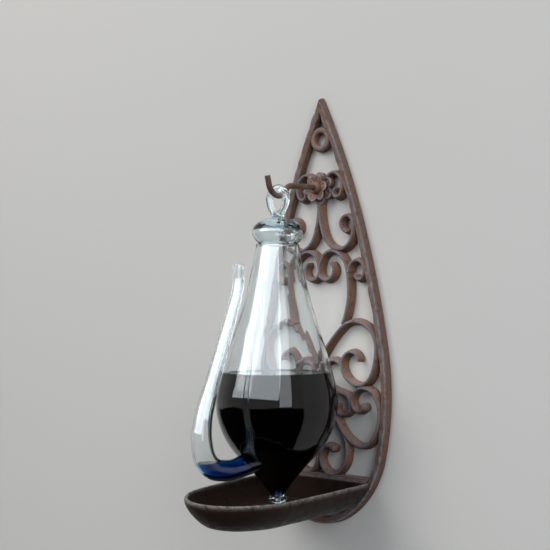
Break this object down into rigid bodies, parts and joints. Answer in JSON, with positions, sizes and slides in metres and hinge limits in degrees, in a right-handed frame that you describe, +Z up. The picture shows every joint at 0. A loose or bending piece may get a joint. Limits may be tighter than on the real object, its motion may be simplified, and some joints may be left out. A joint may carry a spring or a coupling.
{
  "type": "weather glass",
  "caption": "Wall-hung weather glass: a spouted glass flask of blue water hangs by its eye from a hook on a scrolled iron bracket with a drip tray.",
  "frame": {"origin": "on the wall, behind the middle of the rosette that holds the hook", "axes": "+Z up, -Y out from the wall towards the glass, +X to the right as seen from the front"},
  "size_m": [0.1274, 0.1347, 0.3299],
  "materials": {
    "iron_bar": "rusty brown, worn to grey on the ridges",
    "iron_rosette": "rusty brown, worn",
    "iron_hook": "brown, worn to grey where the glass hangs",
    "iron_tray": "dark brown, semi-gloss",
    "clear_glass": "clear, hand blown",
    "blue_water": "dark blue dyed water"
  },
  "bodies": {
    "bracket": {"frame_bar_right": "iron_bar", "frame_bar_left": "iron_bar", "hanging_ring": "iron_bar", "upper_curl_right": "iron_bar", "upper_curl_left": "iron_bar", "lyre_scroll_right": "iron_bar", "lyre_scroll_left": "iron_bar", "fork_scroll_right": "iron_bar", "fork_scroll_left": "iron_bar", "stem_curl_right": "iron_bar", "stem_curl_left": "iron_bar", "big_spiral_right": "iron_bar", "big_spiral_left": "iron_bar", "inner_scroll_right": "iron_bar", "inner_scroll_left": "iron_bar", "lower_spiral_right": "iron_bar", "lower_spiral_left": "iron_bar", "bottom_spiral_right": "iron_bar", "bottom_spiral_left": "iron_bar", "cross_bar": "iron_bar", "rosette_back": "iron_rosette", "rosette_front": "iron_rosette", "hook": "iron_hook", "tray": "iron_tray"},
    "glass": {"flask": "clear_glass", "neck_collar": "clear_glass", "hanging_eye": "clear_glass", "foot_button": "clear_glass", "spout": "clear_glass", "water": "blue_water"}
  },
  "joints": [
    {"name": "glass_swing", "type": "hinge", "parent": "bracket", "child": "glass", "pos_m": [0, -0.05383, -0.01078], "axis": [0, 1, 0], "range_deg": [-8, 8]}
  ]
}
